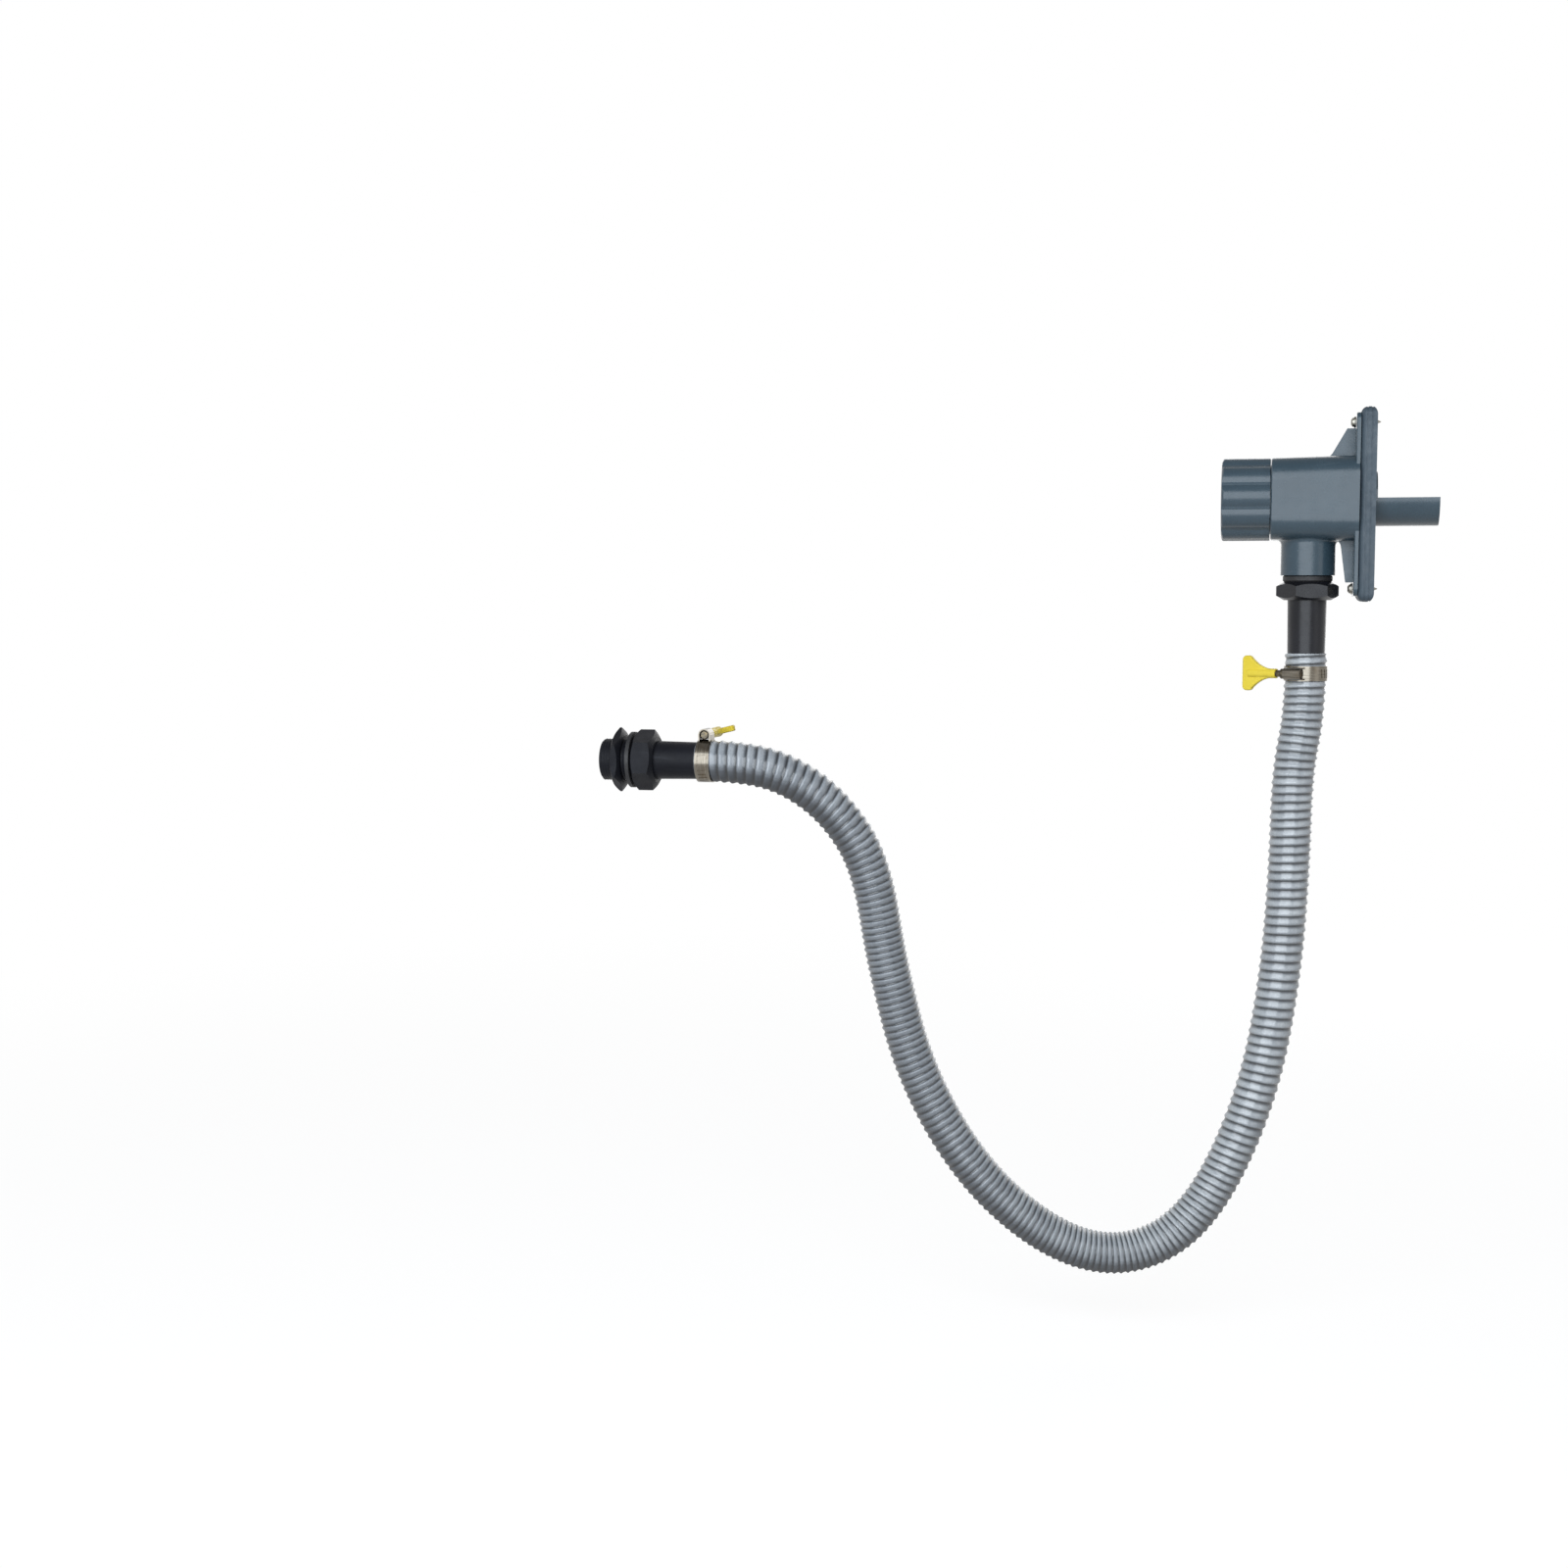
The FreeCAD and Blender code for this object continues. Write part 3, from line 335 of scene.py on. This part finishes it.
SLATE_SCUFF = (108, 120, 128)
BLACK_SCUFF = (70, 72, 80)
slate_plastic = moulded_plastic(
    "slate_moulding", (53, 71, 82), (60, 78, 89), SLATE_SCUFF, smooth=0.22, rough=0.3, shine=0.44
)
knob_plastic = moulded_plastic(
    "slate_knob", (56, 73, 84), (63, 80, 91), SLATE_SCUFF, smooth=0.22, rough=0.3, shine=0.44
)
pad_rubber = soft_rubber("slate_rubber_pad", (60, 72, 82), (70, 83, 93), (110, 118, 124))
black_plastic = moulded_plastic(
    "black_moulding", (19, 20, 25), (26, 27, 33), BLACK_SCUFF, smooth=0.24, rough=0.34, shine=0.3
)
far_black_plastic = moulded_plastic(
    "far_black_moulding", (19, 20, 25), (26, 27, 33), BLACK_SCUFF, smooth=0.4, rough=0.52, shine=0.12
)
black_rubber = soft_rubber("black_rubber_seal", (20, 20, 22), (30, 30, 33), (66, 66, 68))
yellow_plastic = moulded_plastic(
    "yellow_wing", (238, 210, 58), (246, 220, 76), (250, 234, 140), smooth=0.34, rough=0.5, shine=0.3
)
outlet_steel = brushed_steel("outlet_band_steel", (1.0, 1.0, 60.0))
tank_steel = brushed_steel("far_band_steel", (60.0, 1.0, 1.0))
screw_steel = plated_steel("plated_screw_steel", (112, 110, 104), (158, 156, 148), (176, 166, 142))
clamp_screw_steel = plated_steel("dull_clamp_screw_steel", (62, 58, 52), (92, 86, 74), (120, 104, 72))
hose_vinyl = ribbed_vinyl("ribbed_grey_vinyl")

FINISH_OF_NODE = {
    "housing": slate_plastic,
    "saddle_gasket": pad_rubber,
    "intake_scoop": slate_plastic,
    "fixing_screws": screw_steel,
    "fixing_washers": screw_steel,
    "selector_knob": knob_plastic,
    "spindle_o_ring": black_rubber,
    "valve_sleeve": black_plastic,
    "sleeve_screw": screw_steel,
    "outlet_seal": black_rubber,
    "outlet_hose_tail": black_plastic,
    "tank_hose_tail": far_black_plastic,
    "tank_seal": black_rubber,
    "tank_locknut": far_black_plastic,
    "outlet_clamp_band": outlet_steel,
    "outlet_clamp_housing": outlet_steel,
    "outlet_clamp_screw": clamp_screw_steel,
    "outlet_clamp_key": yellow_plastic,
    "tank_clamp_band": tank_steel,
    "tank_clamp_housing": tank_steel,
    "tank_clamp_screw": clamp_screw_steel,
    "tank_clamp_key": yellow_plastic,
}
for name, finish in FINISH_OF_NODE.items():
    node[name].data.materials.clear()
    node[name].data.materials.append(finish)


# Wound sleeves: the hose's wall and the threads
def whole(sleeve):
    return sleeve.verts[:] + sleeve.edges[:] + sleeve.faces[:]


def verts_among(parts):
    return [part for part in parts if isinstance(part, bmesh.types.BMVert)]


def wound_sleeve(section, pitch, length, inner_radius, steps):
    sleeve = bmesh.new()
    rib = sleeve.verts.layers.float.new("rib")
    ring = []
    for share, radius, tone in section:
        ring.append(sleeve.verts.new((pitch * (share - 1), 0, radius)))
        ring[-1][rib] = tone
    edges = [sleeve.edges.new(pair) for pair in zip(ring, ring[1:])]
    bmesh.ops.spin(
        sleeve, geom=ring + edges, cent=(0, 0, 0), axis=(1, 0, 0), dvec=(pitch / steps, 0, 0),
        angle=2 * math.pi, steps=steps, use_merge=False, use_duplicate=False,
    )
    # One turn is doubled until the sleeve is long enough, and then both ends are cut square
    turns = 1
    while (turns - 1) * pitch < length:
        copied = verts_among(bmesh.ops.duplicate(sleeve, geom=whole(sleeve))["geom"])
        bmesh.ops.translate(sleeve, verts=copied, vec=(turns * pitch, 0, 0))
        turns *= 2
    bmesh.ops.remove_doubles(sleeve, verts=sleeve.verts, dist=pitch * MERGE_SHARE)
    for end, outward in ((0.0, -1), (length, 1)):
        bmesh.ops.bisect_plane(
            sleeve, geom=whole(sleeve), dist=CUT_TOLERANCE,
            plane_co=(end, 0, 0), plane_no=(outward, 0, 0), clear_outer=True,
        )
    bmesh.ops.recalc_face_normals(sleeve, faces=sleeve.faces)
    # Each end face runs in to the inner radius, and a lip runs back from there
    for depth in (0.0, LIP_TURNS * pitch):
        rim = [edge for edge in sleeve.edges if edge.is_boundary]
        for vert in verts_among(bmesh.ops.extrude_edge_only(sleeve, edges=rim)["geom"]):
            out = math.hypot(vert.co.y, vert.co.z)
            vert.co.y *= inner_radius / out
            vert.co.z *= inner_radius / out
            vert.co.x += depth if vert.co.x < length / 2 else -depth
            vert[rib] = LIP_TONE
    bmesh.ops.recalc_face_normals(sleeve, faces=sleeve.faces)
    return sleeve


def finished_piece(name, built, finish, body):
    mesh = bpy.data.meshes.new(name)
    built.to_mesh(mesh)
    built.free()
    mesh.polygons.foreach_set("use_smooth", [True] * len(mesh.polygons))
    mesh.materials.append(finish)
    piece = bpy.data.objects.new(name, mesh)
    bpy.context.scene.collection.objects.link(piece)
    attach(piece, body)
    return piece


# Hose: a wall of round ribs wound along the route's smooth line
def hose_line():
    curve = bpy.data.curves.new("hose_line", "CURVE")
    curve.dimensions = "3D"
    curve.resolution_u = HOSE_LINE_STEPS
    spline = curve.splines.new("NURBS")
    spline.points.add(len(HOSE_ROUTE) - 1)
    for point, place in zip(spline.points, HOSE_ROUTE):
        point.co = (*place, 1.0)
    spline.order_u = 3
    spline.use_endpoint_u = True
    line = bpy.data.objects.new("hose_line", curve)
    traced = bpy.data.meshes.new_from_object(line)
    path = [vert.co.copy() for vert in traced.vertices]
    bpy.data.objects.remove(line)
    bpy.data.curves.remove(curve)
    bpy.data.meshes.remove(traced)
    return path


def bracket(marks, value):
    first = min(max(bisect.bisect_right(marks, value) - 1, 0), len(marks) - 2)
    return first, (value - marks[first]) / (marks[first + 1] - marks[first])


def spacing_at(along):
    for (near, close), (far, wide) in zip(RIB_SPACING, RIB_SPACING[1:]):
        if near <= along < far:
            return close + (wide - close) * (along - near) / (far - near)
    return RIB_SPACING[-1][1]


def rib_turns(distance):
    turns = [0.0]
    for first, second in zip(distance, distance[1:]):
        turns.append(turns[-1] + (second - first) / spacing_at(first))
    return turns


def spread_ribs(sleeve, turns, distance):
    for vert in sleeve.verts:
        first, share = bracket(turns, vert.co.x / RIB_PITCH)
        vert.co.x = distance[first] + share * (distance[first + 1] - distance[first])


def squeeze_under_clamps(sleeve, length):
    for middle in (OUTLET_CLAMP_PLACE, length - FAR_CLAMP_PLACE):
        for vert in sleeve.verts:
            aside = abs(vert.co.x - middle) - CLAMP_HALF_WIDTH
            grip = min(max(1 - aside / CLAMP_EASE, 0.0), 1.0)
            out = math.hypot(vert.co.y, vert.co.z)
            shrink = 1 - grip * max(out - CLAMPED_RADIUS, 0.0) / out
            vert.co.y *= shrink
            vert.co.z *= shrink


def lay_along(sleeve, path, distance):
    forward = []
    for before, after in zip([path[0]] + path, path[1:] + [path[-1]]):
        forward.append((after - before).normalized())
    side = [forward[0].orthogonal().normalized()]
    for way in forward[1:]:
        side.append((side[-1] - way * side[-1].dot(way)).normalized())
    upward = sleeve.verts.layers.float.new("upward")
    for vert in sleeve.verts:
        along, across, up = vert.co
        first, share = bracket(distance, along)
        way = forward[first].lerp(forward[first + 1], share).normalized()
        beside = side[first].lerp(side[first + 1], share)
        beside = (beside - way * beside.dot(way)).normalized()
        outward = beside * across + way.cross(beside) * up
        vert[upward] = (outward.normalized().z + 1) / 2
        vert.co = path[first].lerp(path[first + 1], share) + outward


path = hose_line()
distance = [0.0]
for first, second in zip(path, path[1:]):
    distance.append(distance[-1] + (second - first).length)
turns = rib_turns(distance)
hose_wall = wound_sleeve(RIB_SECTION, RIB_PITCH, turns[-1] * RIB_PITCH, HOSE_BORE_RADIUS, HOSE_SIDES)
spread_ribs(hose_wall, turns, distance)
squeeze_under_clamps(hose_wall, distance[-1])
lay_along(hose_wall, path, distance)
hose = finished_piece("ribbed_hose", hose_wall, hose_vinyl, "diverter")
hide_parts("filling_hose")


# Threads on the far end's tail and on the fixing screws
def thread(name, size, start, length, finish):
    root = size["root"]
    crest = size["crest"]
    heights = [(0.0, root), (0.12, root), (0.46, crest), (0.54, crest), (0.88, root), (1.0, root)]
    section = [(share, radius, 1.0) for share, radius in heights]
    ridge = wound_sleeve(section, size["pitch"], length, root - THREAD_WALL, THREAD_SIDES)
    bmesh.ops.translate(ridge, verts=ridge.verts, vec=start)
    return finished_piece(name, ridge, finish, "diverter")


tail_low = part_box("tank_hose_tail")[0]
seal_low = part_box("tank_seal")[0]
tail_start = Vector((tail_low.x + TAIL_THREAD_INSET, *HOSE_ROUTE[-1][1:]))
tail_length = seal_low.x - TAIL_THREAD_GAP - tail_start.x
tank_thread = thread(
    "far_tail_thread", TAIL_THREAD, tail_start, tail_length, far_black_plastic
)
for place, height in SCREW_HEIGHTS.items():
    screw_start = Vector((SCREW_THREAD_START, 0, height))
    thread(
        place + "_screw_thread", SCREW_THREAD, screw_start, SCREW_THREAD_LENGTH, screw_steel
    )


# Floor: it keeps the shadow and fades into the white background
def seen_by_eye(tree):
    rays = tree.nodes.new("ShaderNodeLightPath")
    share = rays.outputs["Is Camera Ray"]
    for other in ("Is Glossy Ray", "Is Transmission Ray"):
        share = worked_out(tree, "MAXIMUM", share, rays.outputs[other])
    return share


def floor_finish():
    finish, tree, shader = new_finish("pale_floor")
    shader.inputs["Base Color"].default_value = FLOOR_GREY
    shader.inputs["Roughness"].default_value = 0.9
    shader.inputs["Specular IOR Level"].default_value = 0.0
    shader.inputs["Emission Color"].default_value = WHITE
    seen = seen_by_eye(tree)
    feed(tree, shader.inputs["Emission Strength"], worked_out(tree, "MULTIPLY", seen, FLOOR_GLOW))
    far = tree.nodes.new("ShaderNodeVectorMath")
    far.operation = "LENGTH"
    feed(tree, far.inputs[0], object_place(tree))
    fade = remapped(tree, far.outputs["Value"], FLOOR_FADE, (0.0, 1.0), smooth=True)
    white = tree.nodes.new("ShaderNodeEmission")
    mix = tree.nodes.new("ShaderNodeMixShader")
    feed(tree, mix.inputs[0], worked_out(tree, "MULTIPLY", fade, seen))
    feed(tree, mix.inputs[1], shader.outputs["BSDF"])
    feed(tree, mix.inputs[2], white.outputs["Emission"])
    feed(tree, tree.nodes["Material Output"].inputs["Surface"], mix.outputs["Shader"])
    return finish


floor_mesh = bmesh.new()
bmesh.ops.create_circle(floor_mesh, cap_ends=True, segments=FLOOR_SIDES, radius=FLOOR_RADIUS)
bmesh.ops.translate(floor_mesh, verts=floor_mesh.verts, vec=(FLOOR_MIDDLE, 0, FLOOR_LEVEL))
floor_data = bpy.data.meshes.new("floor")
floor_mesh.to_mesh(floor_data)
floor_mesh.free()
floor_data.materials.append(floor_finish())
floor = bpy.data.objects.new("floor", floor_data)
bpy.context.scene.collection.objects.link(floor)

# World: white to the eye and in reflections, less so overhead, and dim as a lamp
world = bpy.data.worlds.new("studio")
bpy.context.scene.world = world
world.use_nodes = True
sky_tree = world.node_tree
sky = sky_tree.nodes["Background"]
sky.inputs["Color"].default_value = WHITE
wide = sky_tree.nodes.new("ShaderNodeTexCoord")
height = sky_tree.nodes.new("ShaderNodeSeparateXYZ")
feed(sky_tree, height.inputs["Vector"], wide.outputs["Generated"])
overhead = remapped(sky_tree, height.outputs["Z"], OVERHEAD_HEIGHTS, OVERHEAD_LEVELS, smooth=True)
level = remapped(sky_tree, seen_by_eye(sky_tree), (0.0, 1.0), (WORLD_LIGHT, overhead))
feed(sky_tree, sky.inputs["Strength"], level)


# Lamps and camera
def softbox(name, place, aim, width, height, power, colour):
    lamp = bpy.data.lights.new(name, "AREA")
    lamp.shape = "RECTANGLE"
    lamp.size = width
    lamp.size_y = height
    lamp.energy = power
    lamp.color = colour
    box = bpy.data.objects.new(name, lamp)
    box.location = place
    box.rotation_euler = (Vector(aim) - Vector(place)).to_track_quat("-Z", "Y").to_euler()
    bpy.context.scene.collection.objects.link(box)


softbox(
    "front_softbox", (-0.5, -2.3, 0.45), aim=(-0.15, 0, -0.15),
    width=2.8, height=2.4, power=70, colour=(0.93, 1.0, 1.07),
)
softbox(
    "back_softbox", (0.4, 2.4, 0.6), aim=(-0.25, 0, -0.25),
    width=2.4, height=2.0, power=22, colour=(1.0, 1.0, 1.0),
)
softbox(
    "side_softbox", (1.9, -1.2, 0.4), aim=(-0.2, 0, -0.28),
    width=1.2, height=1.6, power=4, colour=(1.0, 1.0, 1.0),
)

camera_data = bpy.data.cameras.new("camera")
camera_data.lens = 50
camera_data.sensor_width = 36
camera = bpy.data.objects.new("camera", camera_data)
camera.location = CAMERA_PLACE
camera.rotation_euler = (math.radians(CAMERA_TILT), 0, math.radians(CAMERA_TURN))
bpy.context.scene.collection.objects.link(camera)
bpy.context.scene.camera = camera
bpy.context.scene.view_settings.view_transform = "Standard"
